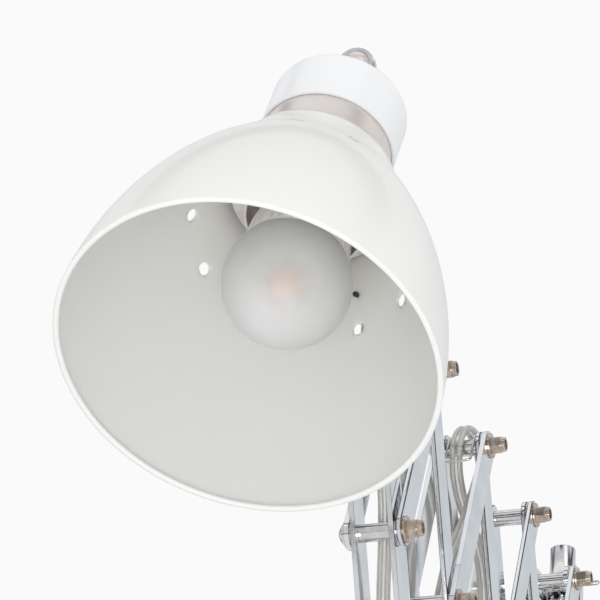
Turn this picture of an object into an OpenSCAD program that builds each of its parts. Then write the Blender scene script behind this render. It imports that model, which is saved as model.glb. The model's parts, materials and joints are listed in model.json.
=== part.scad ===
// Wall lamp on a scissor arm. The origin is the middle of the wall plate's back face.
// +Y goes into the wall, the arm reaches out along -Y, and +Z is up.

/* [Arm] */
// Length of a long bar between its two end pivots
bar_len = 221; // [205:1:235]
// Angle of every bar from upright in the resting pose
rest_angle = 22.3; // [18:0.1:28]
// Width of a bar
bar_w = 15; // [13:0.5:16]
// Thickness of a bar
bar_t = 2.5; // [2:0.1:2.5]
// Clear width between the two inner bars
inner_gap = 15.6; // [15.6:0.1:16.4]
// Outside diameter of the distance tubes
tube_d = 8.4; // [7.6:0.1:9]

/* [Fasteners] */
// Thread diameter of the pivot bolts
bolt_d = 5; // [4.6:0.1:5]
// Radial running clearance of a bar on its bolt
bolt_play = 0.08; // [0.05:0.01:0.1]
// Width across the flats of the lock nuts
nut_af = 8; // [7.4:0.1:8.4]
// Outside diameter of the outer washers
washer_d = 12.6; // [11:0.1:13.4]

/* [Wall bracket] */
// Width of the wall plate
plate_w = 44; // [42:1:50]
// Height of the wall plate
plate_h = 264; // [262:1:272]
// Thickness of the wall plate
plate_t = 4; // [3.5:0.5:4.5]
// Distance of the post's axis from the wall
post_out = 32; // [31:1:36]
// Diameter of the post
post_d = 14; // [13:0.5:14]
// Height of the top pivots above the middle of the plate
pivot_z = 136; // [134:1:138]

/* [Head] */
// Tilt of the lamp axis from upright
head_tilt = 24.3; // [20:0.1:28]
// Outside radius of the shade at its rim
rim_r = 83; // [80:0.2:85]
// Thickness of the spun shade
shade_t = 1.2; // [1:0.1:1.4]
// Outside radius of the cap
cap_r = 31.5; // [31:0.1:33]
// Height of the cap
cap_h = 33; // [30:1:35]
// Diameter of the vent holes
vent_d = 5.8; // [4.5:0.1:6.5]
// Radius of the bulb's globe
globe_r = 28.2; // [26:0.2:29]

/* [Cord] */
// Width of the flat twin flex
flex_w = 6.8; // [6:0.1:6.9]
// Thickness of the flat twin flex
flex_t = 3.4; // [3:0.1:3.6]
// Radius to the middle of the coil's turns
coil_r = 38; // [36:1:41]

/* [Hidden] */

$fn = 64;

// Arm: top pivots n(4) at the wall to n(0) at the head, crossings m(4) to m(1), lower pivots o(4) to o(1).
pitch = bar_len * sin(rest_angle);
half_h = bar_len / 2 * cos(rest_angle);
post_reach = 20;
first_y = -(post_out + post_reach);
function n(k) = [0, first_y - (4 - k) * pitch, pivot_z];
function m(k) = [0, first_y - (4.5 - k) * pitch, pivot_z - half_h];
function o(k) = [0, first_y - (4 - k) * pitch, pivot_z - 2 * half_h];

// Layers of a pivot, as distances from the arm's middle plane.
layer_gap = 0.1;
inner_x = inner_gap / 2;
thin_x = inner_x + bar_t + layer_gap;
thin_t = 0.7;
outer_x = thin_x + thin_t + layer_gap;
washer_t = 1;
bore_r = bolt_d / 2 + bolt_play;
nut_hex_h = 4.8;
nut_top_h = 2.2;
thread_end = -1.6;
bolt_head_r = 4.9;
bolt_head_h = 3.2;

// Wall bracket and post.
lug_h = 8;
lug_r = 12;
lug_top_z = 104;
lug_low_z = -112;
post_play = 0.06;
post_low_z = -120;
post_top_z = pivot_z + 28;
stop_ring_r = 9.5;
collar_r = 11.5;
block_h = 16;
pin_r = 1.4;
pin_len = 44;
pin_y = first_y + 8.9 + 2.2;
pin_z = pivot_z + 2;
slider_h = 18;
slider_play = 0.1;
screw_x = 14;
screw_z = 118;
screw_hole_r = 2.4;

// Head: the ball joint sits over the front pivot, and heights run along the lamp axis from it.
ball = n(0) + [3.5, -28.4, 103];
side_lean = 2.5;
ball_r = 7.5;
cup_r = 9.3;
cup_play = 0.1;
stem_r = 5;
stem_y = n(0)[1] + 16;
stem_low_z = pivot_z - 7;
stem_turn = atan(ball[0] / (stem_y - ball[1]));
stem_reach = norm([ball[0], stem_y - ball[1]]);
elbow_r = 14;
rim_z = -218;
cap_top_z = rim_z + 184;
cap_low_z = cap_top_z - cap_h;
seam_z = rim_z + 130;
neck_low_z = rim_z + 133.2;
holder_z = rim_z + 116;
globe_z = rim_z + 54.7;

// The lamp holder and bulb sit a little askew in the shade, turned about a point in its neck.
askew = [1.6, -2.5, 0];
askew_z = rim_z + 150;

// Shade outline: one large arc up from the rim, then a hollow arc into the neck.
bell_c = [-120, -8];
bell_r = norm([rim_r, 0] - bell_c);
bell_top = 108;
bell_end = asin((bell_top - bell_c[1]) / bell_r);
bell_start = asin(-bell_c[1] / bell_r);
hollow_r = 65.7;
hollow_c = [
    bell_c[0] + (bell_r + hollow_r) * cos(bell_end),
    bell_c[1] + (bell_r + hollow_r) * sin(bell_end)
];
hollow_low = 180 + bell_end;
hollow_high = 180 + asin((hollow_c[1] - 130) / hollow_r);
// Vent holes as [turn round the axis, height over the rim].
vents = [[84, 102], [112, 96], [195, 90], [222, 91], [318, 97], [346, 100]];

// Flex routes. An arm strand's point is [sideways, towards the wall, down from the bar's top pivot].
route_a4 = [
    [-3.6, 9, 17], [-3.6, 8, 30], [-3, 7, 50], [-2, 8, 80], [-2, 9, 110], [-2, 8, 145],
    [-2, 7, 180], [-2, 7.5, 205], [-2, 8, 219]
];
route_b2 = [
    [-2.6, -7.2, 8], [-3.2, -5, 16], [-3.2, 0, 26], [-2, 5, 36], [0.5, 8, 48], [2.2, 7.5, 61],
    [2.2, 7, 78], [1, 8, 95], [0, 9.5, 112], [-1, 8, 138], [-1, 2, 168], [-2, -4, 190],
    [-2, -7, 206], [-2, -8, 219]
];
route_a2 = [
    [4.2, 16.5, 6], [4.2, 14.2, 20], [4.2, 11, 37], [3.8, 7.6, 55], [2, 5.5, 76],
    [0.4, 7.9, 97], [0, 9, 112], [0, 9, 140], [0, 8, 175], [0, 7.5, 204], [0, 8, 219]
];
route_b0 = [
    [0, 12, 13], [0, 8.6, 21], [0.6, 6.4, 34], [2, 6, 60], [2.5, 8.5, 88], [0.5, 9.7, 113],
    [-1.5, 6.5, 141], [-1, 1, 168], [0, -4, 190], [0, -7, 206], [0, -8, 219]
];
route_wall = [
    [-30, -9, 92], [-30, -10, 100], [-29, -14, 108], [-25, -23, 115],
    [-18, -34, 119], [-11, -42, 121.5]
];
route_cord = [
    [-30, -9, 74], [-30, -9, 60], [-30, -9, 30], [-30, -9, 0], [-30, -9, -30], [-30, -9, -60],
    [-31, -9, -88], [-37, -9, -115], [-48, -9, -136], [-57, -9, -153], [-62, -9, -166]
];
route_tail = [[8, -9, -184], [8, -9, -192], [9, -9, -202], [10, -9, -213], [10, -9, -221.9]];
flex_steps = 4;
grip_z = 83;
grip_h = 18;
grip_r = 6;
coil_turns_in = 3;
coil_turns_across = 2;
coil_c = [-30, -9, -184];
plug_x = 10;
plug_top_z = -222;
relief_h = 26;
plug_h = 34;
plug_w = 35;
plug_t = 13.6;
pin_half = 9.3;
plug_pin_r = 2;
plug_pin_h = 19;

function bar_down(side) = [0, -side * sin(rest_angle), -cos(rest_angle)];
function bar_wall(side) = [0, cos(rest_angle), -side * sin(rest_angle)];
function on_bar(top, side, p) = top + [p[0], 0, 0] + p[1] * bar_wall(side) + p[2] * bar_down(side);
function strand(top, side, route) = [for (p = route) on_bar(top, side, p)];

// Turns of the flex round a pivot, from one strand's end to the next strand's start.
function arc_points(c, r, from, to, x_from, x_to, steps) = [
    for (i = [0 : steps])
        let (t = i / steps, a = from + (to - from) * t)
        [c[0] + x_from + (x_to - x_from) * t, c[1] + r * cos(a), c[2] + r * sin(a)]
];
function under(k, r, x0, x1) = arc_points(o(k), r, -rest_angle - 6, -180 + rest_angle + 6, x0, x1, 6);

// A smooth line through hand-set points.
function blend4(a, b, c, d, t) =
    0.5 * (2 * b + (c - a) * t + (2 * a - 5 * b + 4 * c - d) * t * t + (3 * b - a - 3 * c + d) * t * t * t);
function smooth(p) = concat(
    [for (i = [0 : len(p) - 2], j = [0 : flex_steps - 1])
        blend4(p[max(i - 1, 0)], p[i], p[i + 1], p[min(i + 2, len(p) - 1)], j / flex_steps)],
    [p[len(p) - 1]]
);
function unit(v) = v / norm(v);
function along(p, i) = unit(p[min(i + 1, len(p) - 1)] - p[max(i - 1, 0)]);

// Swept flat flex: its wide way starts along ref_a and ends along ref_b.
module flex_sweep(path, ref_a, ref_b) {
    sides = 8;
    count = len(path);
    rings = [
        for (i = [0 : count - 1])
            let (
                dir = along(path, i),
                ref = ref_a + (ref_b - ref_a) * i / (count - 1),
                thin = unit(cross(dir, ref)),
                wide = cross(thin, dir)
            )
            for (s = [0 : sides - 1])
                path[i] + flex_w / 2 * cos(s * 360 / sides) * wide + flex_t / 2 * sin(s * 360 / sides) * thin
    ];
    walls = [
        for (i = [0 : count - 2], s = [0 : sides - 1])
            let (t = (s + 1) % sides)
            [i * sides + s, i * sides + t, (i + 1) * sides + t, (i + 1) * sides + s]
    ];
    near_end = [for (s = [sides - 1 : -1 : 0]) s];
    far_end = [for (s = [0 : sides - 1]) (count - 1) * sides + s];
    polyhedron(rings, concat([near_end], walls, [far_end]), convexity = 6);
}

// A cylinder that lies along X, from x0 over a length.
module x_rod(r, x0, length) {
    translate([x0, 0, 0])
        rotate([0, 90, 0])
            cylinder(r = r, h = length);
}

// Flat bar in the arm's upright plane, hung from its top pivot, with one bore for each pivot.
module flat_bar(length, holes) {
    difference() {
        union() {
            translate([0, -bar_w / 2, -length])
                cube([bar_t, bar_w, length]);
            for (z = [0, -length])
                translate([0, 0, z])
                    x_rod(bar_w / 2, 0, bar_t);
        }
        for (z = holes)
            translate([0, 0, -z])
                x_rod(bore_r, -1, bar_t + 2);
    }
}

// side is 1 for a bar whose foot leans to the lamp (outer layer) and -1 for one leaning to the wall.
module arm_bar(top, side, hand, length, holes) {
    near_x = side > 0 ? outer_x : inner_x;
    x0 = hand > 0 ? near_x : -near_x - bar_t;
    color("silver")
        translate(top + [x0, 0, 0])
            rotate([-side * rest_angle, 0, 0])
                flat_bar(length, holes);
}
module long_bar(top, side, hand) {
    arm_bar(top, side, hand, bar_len, [0, bar_len / 2, bar_len]);
}

// Domed socket-head bolt along X: its head is on the left and its thread end on the right.
module pivot_bolt(grip_x) {
    seat = grip_x + layer_gap + washer_t;
    end = seat + nut_hex_h + nut_top_h + thread_end;
    dome_r = 6.2;
    difference() {
        union() {
            x_rod(bolt_d / 2, -seat, seat + end);
            intersection() {
                x_rod(bolt_head_r, -seat - bolt_head_h, bolt_head_h);
                translate([-seat - bolt_head_h + dome_r, 0, 0])
                    sphere(r = dome_r);
            }
        }
        translate([-seat - bolt_head_h - 1, 0, 0])
            rotate([0, 90, 0])
                cylinder(r = 1.7, h = 2.8, $fn = 6);
    }
}

module ring_x(r_out, r_in, x0, length) {
    difference() {
        x_rod(r_out, x0, length);
        x_rod(r_in, x0 - 1, length + 2);
    }
}

// Lock nut on the right with its washers on both sides. thin adds the washers between the bars.
module pivot_nut(grip_x, thin) {
    seat = grip_x + layer_gap;
    hex_r = nut_af / 2 / cos(30);
    fit_r = bolt_d / 2 + 0.02;
    ring_x(washer_d / 2, fit_r, seat, washer_t);
    ring_x(washer_d / 2, fit_r, -seat - washer_t, washer_t);
    if (thin) {
        ring_x(5, fit_r, thin_x, thin_t);
        ring_x(5, fit_r, -thin_x - thin_t, thin_t);
    }
    difference() {
        union() {
            translate([seat + washer_t, 0, 0])
                rotate([0, 90, 0])
                    cylinder(r = hex_r, h = nut_hex_h, $fn = 6);
            x_rod(nut_af / 2 - 0.4, seat + washer_t + nut_hex_h, nut_top_h);
        }
        x_rod(fit_r, seat, 20);
    }
}
module distance_tube() {
    ring_x(tube_d / 2, bolt_d / 2 + 0.05, -inner_x, inner_gap);
}

grip_full = outer_x + bar_t;
grip_inner = inner_x + bar_t;

module bolts(full, inner) {
    color("gainsboro") {
        for (p = full)
            translate(p)
                pivot_bolt(grip_full);
        for (p = inner)
            translate(p)
                pivot_bolt(grip_inner);
    }
}
module nuts(full, inner) {
    color("tan") {
        for (p = full)
            translate(p)
                pivot_nut(grip_full, true);
        for (p = inner)
            translate(p)
                pivot_nut(grip_inner, false);
    }
}
module tubes(points) {
    color("silver")
        for (p = points)
            translate(p)
                distance_tube();
}

// Wall bracket.
module wall_plate() {
    end_r = 10;
    color("silver")
        difference() {
            rotate([90, 0, 0])
                linear_extrude(plate_t)
                    union() {
                        square([plate_w, plate_h - 2 * end_r], center = true);
                        square([plate_w - 2 * end_r, plate_h], center = true);
                        for (x = [-1, 1], z = [-1, 1])
                            translate([x * (plate_w / 2 - end_r), z * (plate_h / 2 - end_r)])
                                circle(r = end_r);
                    }
            for (x = [-1, 1], z = [-1, 1])
                translate([x * screw_x, 1, z * screw_z])
                    rotate([90, 0, 0])
                        cylinder(r = screw_hole_r, h = plate_t + 2);
        }
}
module wall_lug(z) {
    difference() {
        union() {
            translate([-lug_r, -post_out, z])
                cube([2 * lug_r, post_out - plate_t, lug_h]);
            translate([0, -post_out, z])
                cylinder(r = lug_r, h = lug_h);
        }
        translate([0, -post_out, z - 1])
            cylinder(r = post_d / 2 + post_play, h = lug_h + 2);
    }
}
module wall_lugs() {
    color("silver") {
        wall_lug(lug_top_z - lug_h);
        wall_lug(lug_low_z);
    }
}
// Post with its stop ring, and the block that carries the first pivot.
module post() {
    chamfer = 0.8;
    r = post_d / 2;
    color("silver")
        translate([0, -post_out, 0])
            rotate_extrude()
                polygon([
                    [0, post_low_z], [r - chamfer, post_low_z], [r, post_low_z + chamfer],
                    [r, lug_top_z + 0.4], [stop_ring_r, lug_top_z + 0.4],
                    [stop_ring_r, lug_top_z + 6], [r, lug_top_z + 6],
                    [r, post_top_z - chamfer], [r - chamfer, post_top_z], [0, post_top_z]
                ]);
}
module top_block() {
    cheek_h = bar_w;
    color("silver")
        difference() {
            union() {
                translate([0, -post_out, pivot_z - block_h / 2])
                    cylinder(r = collar_r, h = block_h);
                for (x = [inner_x, -inner_x - bar_t]) {
                    translate([x, first_y, pivot_z - cheek_h / 2])
                        cube([bar_t, post_reach, cheek_h]);
                    translate([0, first_y, pivot_z])
                        x_rod(cheek_h / 2, x, bar_t);
                }
            }
            translate([0, -post_out, pivot_z - block_h])
                cylinder(r = post_d / 2, h = 2 * block_h);
            translate([0, first_y, pivot_z])
                x_rod(bore_r, -30, 60);
            translate([0, pin_y, pin_z])
                x_rod(pin_r + 0.02, -30, 60);
            translate([0, -post_out - post_d / 2 + 1, pivot_z - 5])
                rotate([90, 0, 0])
                    cylinder(r = 1.9, h = 20);
        }
}
module block_screw() {
    length = collar_r - post_d / 2 - 0.3;
    color("gainsboro")
        translate([0, -post_out - post_d / 2, pivot_z - 5])
            rotate([90, 0, 0])
                difference() {
                    cylinder(r = 1.85, h = length);
                    translate([0, 0, length - 2])
                        cylinder(r = 1.1, h = 3, $fn = 6);
                }
}
module cross_pin() {
    color("gainsboro")
        translate([0, pin_y, pin_z]) {
            x_rod(pin_r, -pin_len / 2, pin_len);
            for (x = [-1, 1])
                translate([x * pin_len / 2, 0, 0])
                    sphere(r = pin_r);
        }
}
module post_bolt() {
    bolts([n(4)], []);
}
module post_tube() {
    tubes([n(4)]);
}
module post_nut() {
    nuts([n(4)], []);
}

// Block that slides on the post and carries the lowest pivot of the first crossing.
module slider() {
    boss_x = inner_x - layer_gap;
    color("silver")
        difference() {
            union() {
                translate([0, -post_out, o(4)[2] - slider_h / 2])
                    cylinder(r = collar_r, h = slider_h);
                translate([-boss_x, first_y, o(4)[2] - 5])
                    cube([2 * boss_x, post_reach, 10]);
                translate(o(4))
                    x_rod(5, -boss_x, 2 * boss_x);
            }
            translate([0, -post_out, o(4)[2] - slider_h])
                cylinder(r = post_d / 2 + slider_play, h = 2 * slider_h);
            translate(o(4))
                x_rod(bore_r, -20, 40);
        }
}

// Head side of the arm: block on the front pivot, swivelling stem, and the cup of the ball joint.
module head_block() {
    boss_x = inner_x - 0.2;
    socket_h = 24;
    socket_z = pivot_z - 6;
    color("silver")
        difference() {
            union() {
                translate(n(0))
                    x_rod(6, -boss_x, 2 * boss_x);
                translate([-boss_x, n(0)[1], pivot_z - 6])
                    cube([2 * boss_x, stem_y - n(0)[1], 12]);
                translate([0, stem_y, socket_z])
                    cylinder(r = boss_x, h = socket_h);
            }
            translate(n(0))
                x_rod(bore_r, -20, 40);
            translate([0, stem_y, socket_z - 1])
                cylinder(r = stem_r + 0.06, h = socket_h + 2);
        }
}
// Everything on the stem is drawn from its upright tube, with its arm along -Y.
module on_stem() {
    translate([0, stem_y, 0])
        rotate([0, 0, stem_turn])
            children();
}
module stem() {
    bore = 3.6;
    bend_z = ball[2] - elbow_r;
    ring_low = pivot_z + 18.4;
    ring_r = 7;
    color("silver")
        on_stem()
            difference() {
                union() {
                    translate([0, 0, stem_low_z])
                        cylinder(r = stem_r, h = bend_z - stem_low_z);
                    translate([0, 0, ring_low])
                        cylinder(r = ring_r, h = 4);
                    translate([0, -elbow_r, bend_z])
                        rotate([0, -90, 0])
                            rotate([0, 0, 90])
                                rotate_extrude(angle = -90)
                                    translate([elbow_r, 0])
                                        circle(r = stem_r);
                    translate([0, -elbow_r, ball[2]])
                        rotate([90, 0, 0])
                            cylinder(r = stem_r, h = stem_reach - cup_r - 0.5 - elbow_r);
                }
                translate([0, 0, stem_low_z - 1])
                    cylinder(r = bore, h = 60);
            }
}
module ball_cup() {
    sleeve_r = 7;
    sleeve_end = 22;
    slot = 4.5;
    color("gainsboro")
        on_stem()
            translate([0, -stem_reach, ball[2]])
                difference() {
                    union() {
                        sphere(r = cup_r);
                        rotate([-90, 0, 0])
                            cylinder(r = sleeve_r, h = sleeve_end);
                    }
                    sphere(r = ball_r + cup_play);
                    rotate([-90, 0, 0])
                        translate([0, 0, cup_r - 0.3])
                            cylinder(r = stem_r + 0.06, h = sleeve_end);
                    translate([-15, -15, -15])
                        cube([30, 11.5, 30]);
                    translate([-slot, -15, -15])
                        cube([2 * slot, 20, 15]);
                }
}

// Everything from here on is drawn along the lamp axis and then tilted about the ball.
module on_head() {
    translate(ball)
        rotate([-head_tilt, side_lean, 0])
            children();
}
module on_holder() {
    on_head()
        translate([0, 0, askew_z])
            rotate(askew)
                translate([0, 0, -askew_z])
                    children();
}
module ball_stud() {
    color("gainsboro")
        on_head() {
            sphere(r = ball_r);
            translate([0, 0, cap_top_z])
                cylinder(r = 3.5, h = -cap_top_z - 4);
            translate([0, 0, cap_top_z])
                cylinder(r = 9, h = 3);
            translate([0, 0, cap_top_z + 3])
                cylinder(r = 6.4, h = 4, $fn = 6);
        }
}
module cap() {
    wall = 1.2;
    edge = 4;
    color("white")
        on_head()
            rotate_extrude()
                union() {
                    difference() {
                        union() {
                            translate([0, cap_low_z])
                                square([cap_r, cap_h - edge]);
                            translate([0, cap_top_z - edge])
                                square([cap_r - edge, edge]);
                            intersection() {
                                translate([cap_r - edge, cap_top_z - edge])
                                    circle(r = edge);
                                translate([0, cap_top_z - edge])
                                    square([cap_r, edge]);
                            }
                        }
                        translate([-1, cap_low_z - 1])
                            square([cap_r - wall + 1, cap_h - edge - wall + 1]);
                    }
                }
}
module neck_ring() {
    r = cap_r - 1.25;
    color("silver")
        on_head()
            translate([0, 0, neck_low_z])
                difference() {
                    cylinder(r = r, h = cap_low_z - neck_low_z + 12);
                    translate([0, 0, -1])
                        cylinder(r = r - 1.2, h = 60);
                }
}
module collar() {
    gap = 0.6;
    h = neck_low_z - seam_z - gap - 0.3;
    color("white")
        on_head()
            translate([0, 0, seam_z + gap])
                rotate_extrude()
                    polygon([[23, 0], [34.4, 0], [34.6, 0.4], [31.4, h - 0.2], [31, h], [23, h]]);
}

// Shade outline point at a height over the rim, moved inwards by d.
function bell_at(a, d) = bell_c + (bell_r - d) * [cos(a), sin(a)];
function hollow_at(a, d) = hollow_c + (hollow_r + d) * [cos(a), sin(a)];
function shade_side(d) = concat(
    [for (i = [0 : 16]) bell_at(bell_start + (bell_end - bell_start) * i / 16, d)],
    [for (i = [1 : 8]) hollow_at(hollow_low + (hollow_high - hollow_low) * i / 8, d)]
);
function reversed(p) = [for (i = [len(p) - 1 : -1 : 0]) p[i]];
function vent_r(s) = bell_c[0] + sqrt(bell_r * bell_r - (s - bell_c[1]) * (s - bell_c[1]));
function vent_slope(s) = asin((s - bell_c[1]) / bell_r);

module drill(s, turn, d) {
    rotate([0, 0, -90 - turn])
        translate([vent_r(s), 0, s])
            rotate([0, 90 - vent_slope(s), 0])
                cylinder(d = d, h = 12, center = true);
}
module shade() {
    bead_r = 1.3;
    top_in = 24;
    color("white")
        on_head()
            translate([0, 0, rim_z])
                difference() {
                    union() {
                        rotate_extrude($fn = 96)
                            polygon(concat(
                                shade_side(0),
                                [[top_in, 130], [top_in, 130 - shade_t]],
                                reversed(shade_side(shade_t))
                            ));
                        rotate_extrude($fn = 96)
                            translate([rim_r - bead_r, bead_r * 0.6])
                                circle(r = bead_r);
                    }
                    for (v = vents)
                        drill(v[1], v[0], vent_d);
                    drill(103.5, 196, 2);
                }
}

// Ring that clamps the shade, with the sleeve round the bulb's neck.
module holder_ring() {
    flange_r = 37;
    flange_t = 1.6;
    hole_r = 20.6;
    sleeve_r = 27.3;
    sleeve_h = 18;
    wall = 1.4;
    color("silver")
        on_holder()
            translate([0, 0, holder_z])
                difference() {
                    union() {
                        cylinder(r = flange_r, h = flange_t);
                        translate([0, 0, -sleeve_h])
                            cylinder(r = sleeve_r, h = sleeve_h);
                    }
                    translate([0, 0, -sleeve_h - 1])
                        cylinder(r = sleeve_r - wall, h = sleeve_h + 1);
                    translate([0, 0, -2])
                        cylinder(r = hole_r, h = 6);
                }
}
// Lamp holder: its threaded nipple goes up into the underside of the cap.
module lamp_socket() {
    body_r = 20;
    body_low = holder_z - 6;
    body_top = holder_z + 44;
    nipple_r = 5;
    color("dimgray")
        on_holder()
            difference() {
                union() {
                    translate([0, 0, body_low])
                        cylinder(r = body_r, h = body_top - body_low);
                    translate([0, 0, body_top])
                        cylinder(r = nipple_r, h = cap_top_z - 3.6 - body_top);
                }
                translate([0, 0, body_low - 1])
                    cylinder(r = 15.2, h = 36);
            }
}
module bulb_neck() {
    color("gainsboro")
        on_holder()
            rotate_extrude()
                polygon([
                    [0, globe_z + 16], [24.4, globe_z + 14.4], [22.6, globe_z + 30],
                    [20, holder_z - 18], [14.4, holder_z - 8], [13.2, holder_z],
                    [13.2, holder_z + 22], [8, holder_z + 26], [0, holder_z + 27]
                ]);
}
module bulb_globe() {
    color("ivory")
        on_holder()
            translate([0, 0, globe_z])
                intersection() {
                    sphere(r = globe_r);
                    translate([0, 0, -30 + 14])
                        cube([80, 80, 60], center = true);
                }
}

// Flex along the arm. Each strand lies in the gap between the inner bars.
module flex_wall() {
    joint = on_bar(n(4), 1, route_a4[0]);
    path = concat(route_wall, [for (d = [8, 0.7]) joint - d * bar_down(1) + [-d * d / 30, 0, 0]]);
    color("wheat")
        flex_sweep(smooth(path), [0, 1, 0], [1, 0, 0]);
}
module flex_a4() {
    path = concat(strand(n(4), 1, route_a4), under(3, 8, -2, -2));
    color("wheat")
        flex_sweep(smooth(path), [1, 0, 0], [1, 0, 0]);
}
module flex_b2() {
    over = arc_points(n(2) + [0, 6, 0], 12.5, -8, 188, 4.2, -1.8, 8);
    path = concat(over, strand(n(2), -1, route_b2));
    color("wheat")
        flex_sweep(smooth(path), [1, 0, 0], [1, 0, 0]);
}
module flex_a2() {
    path = concat(strand(n(2), 1, route_a2), under(1, 8, 0, 0));
    color("wheat")
        flex_sweep(smooth(path), [1, 0, 0], [1, 0, 0]);
}
module flex_b0() {
    color("wheat")
        flex_sweep(smooth(strand(n(0), -1, route_b0)), [1, 0, 0], [1, 0, 0]);
}

// Grip on the plate's edge, then the free cord, its tied coil and its plug.
module flex_grip() {
    color("whitesmoke")
        difference() {
            union() {
                translate([-30, -9, grip_z - grip_h / 2])
                    cylinder(r = grip_r, h = grip_h);
                translate([-30, -plate_t - 4, grip_z - 5])
                    cube([30 - plate_w / 2 + 6, 4, 10]);
            }
            translate([-30, -9, grip_z - grip_h])
                cylinder(r = flex_w / 2, h = 2 * grip_h);
        }
}
module cord() {
    color("wheat")
        flex_sweep(smooth(route_cord), [1, 0, 0], [1, 0, 0]);
}
module coil() {
    thick = coil_turns_in * flex_t;
    wide = coil_turns_across * flex_w;
    color("wheat")
        translate(coil_c)
            rotate([90, 0, 0])
                rotate_extrude($fn = 72)
                    translate([coil_r - thick / 2, -wide / 2])
                        square([thick, wide]);
}
module tail() {
    color("wheat")
        flex_sweep(smooth(route_tail), [1, 0, 0], [1, 0, 0]);
}
module plug() {
    body_z = plug_top_z - relief_h - plug_h;
    color("white")
        translate([plug_x, -9, 0]) {
            translate([0, 0, plug_top_z - relief_h])
                cylinder(r1 = 5.6, r2 = 4.2, h = relief_h);
            translate([0, plug_t / 2, body_z])
                rotate([90, 0, 0])
                    linear_extrude(plug_t)
                        polygon([
                            [-plug_w / 2 + 3, 0], [plug_w / 2 - 3, 0], [plug_w / 2, 3], [plug_w / 2, 12],
                            [6.4, plug_h], [-6.4, plug_h], [-plug_w / 2, 12], [-plug_w / 2, 3]
                        ]);
            for (x = [-1, 1])
                translate([x * pin_half, 0, body_z - plug_pin_h])
                    cylinder(r = plug_pin_r, h = plug_pin_h);
        }
}

wall_plate();
wall_lugs();
post();
top_block();
block_screw();
cross_pin();
post_bolt();
post_tube();
post_nut();
slider();
long_bar(n(4), 1, -1);  // bar_a4_left
long_bar(n(4), 1, 1);  // bar_a4_right
long_bar(n(3), 1, -1);  // bar_a3_left
long_bar(n(3), 1, 1);  // bar_a3_right
long_bar(n(2), 1, -1);  // bar_a2_left
long_bar(n(2), 1, 1);  // bar_a2_right
arm_bar(n(1), 1, -1, bar_len / 2, [0, bar_len / 2]);  // bar_a1_left
arm_bar(n(1), 1, 1, bar_len / 2, [0, bar_len / 2]);  // bar_a1_right
long_bar(n(3), -1, -1);  // bar_b3_left
long_bar(n(3), -1, 1);  // bar_b3_right
long_bar(n(2), -1, -1);  // bar_b2_left
long_bar(n(2), -1, 1);  // bar_b2_right
long_bar(n(1), -1, -1);  // bar_b1_left
long_bar(n(1), -1, 1);  // bar_b1_right
long_bar(n(0), -1, -1);  // bar_b0_left
long_bar(n(0), -1, 1);  // bar_b0_right
bolts([n(3), m(4)], [o(4)]);  // bolts_b3
bolts([n(2), m(3), o(3)], []);  // bolts_b2
bolts([n(1), m(2), o(2)], []);  // bolts_b1
bolts([m(1), o(1)], [n(0)]);  // bolts_b0
tubes([n(3), m(4)]);  // tubes_b3
tubes([n(2), m(3), o(3)]);  // tubes_b2
tubes([n(1), m(2), o(2)]);  // tubes_b1
tubes([m(1), o(1)]);  // tubes_b0
nuts([n(3), m(4)], [o(4)]);  // nuts_b3
nuts([n(2), m(3), o(3)], []);  // nuts_b2
nuts([n(1), m(2), o(2)], []);  // nuts_b1
nuts([m(1), o(1)], [n(0)]);  // nuts_b0
head_block();
stem();
ball_cup();
ball_stud();
cap();
neck_ring();
collar();
shade();
holder_ring();
lamp_socket();
bulb_neck();
bulb_globe();
flex_wall();
flex_a4();
flex_b2();
flex_a2();
flex_b0();
flex_grip();
cord();
coil();
tail();
plug();
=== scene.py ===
import json
import math

import bmesh
import bpy
from mathutils import Matrix, Vector


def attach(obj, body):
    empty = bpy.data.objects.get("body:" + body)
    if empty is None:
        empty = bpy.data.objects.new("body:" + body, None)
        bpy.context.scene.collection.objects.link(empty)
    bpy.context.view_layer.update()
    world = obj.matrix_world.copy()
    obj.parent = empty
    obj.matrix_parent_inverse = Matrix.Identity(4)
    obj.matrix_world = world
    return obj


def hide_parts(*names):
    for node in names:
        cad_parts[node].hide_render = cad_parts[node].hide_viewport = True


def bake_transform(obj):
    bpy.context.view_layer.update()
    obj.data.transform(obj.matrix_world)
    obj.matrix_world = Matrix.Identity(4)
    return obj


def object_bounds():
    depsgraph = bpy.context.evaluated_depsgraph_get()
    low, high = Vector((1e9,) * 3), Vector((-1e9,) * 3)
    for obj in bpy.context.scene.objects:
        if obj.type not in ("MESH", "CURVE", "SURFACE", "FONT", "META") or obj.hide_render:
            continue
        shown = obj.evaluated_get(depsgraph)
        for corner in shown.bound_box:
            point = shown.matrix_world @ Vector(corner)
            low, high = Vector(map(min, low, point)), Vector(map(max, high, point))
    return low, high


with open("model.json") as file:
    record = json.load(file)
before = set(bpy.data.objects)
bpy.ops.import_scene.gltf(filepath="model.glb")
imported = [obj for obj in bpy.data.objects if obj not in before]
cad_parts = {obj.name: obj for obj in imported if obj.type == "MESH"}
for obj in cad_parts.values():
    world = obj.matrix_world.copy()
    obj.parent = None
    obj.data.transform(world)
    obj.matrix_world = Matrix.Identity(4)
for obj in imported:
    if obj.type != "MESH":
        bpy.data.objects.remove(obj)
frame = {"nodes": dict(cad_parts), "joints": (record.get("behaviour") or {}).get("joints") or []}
cad_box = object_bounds()

# ---------------------------------------------------------------- places in the frame
JOINTS = {j["name"]: j for j in frame["joints"]}


def joint_at(name):
    return Vector(JOINTS[name]["pos_m"])


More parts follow.
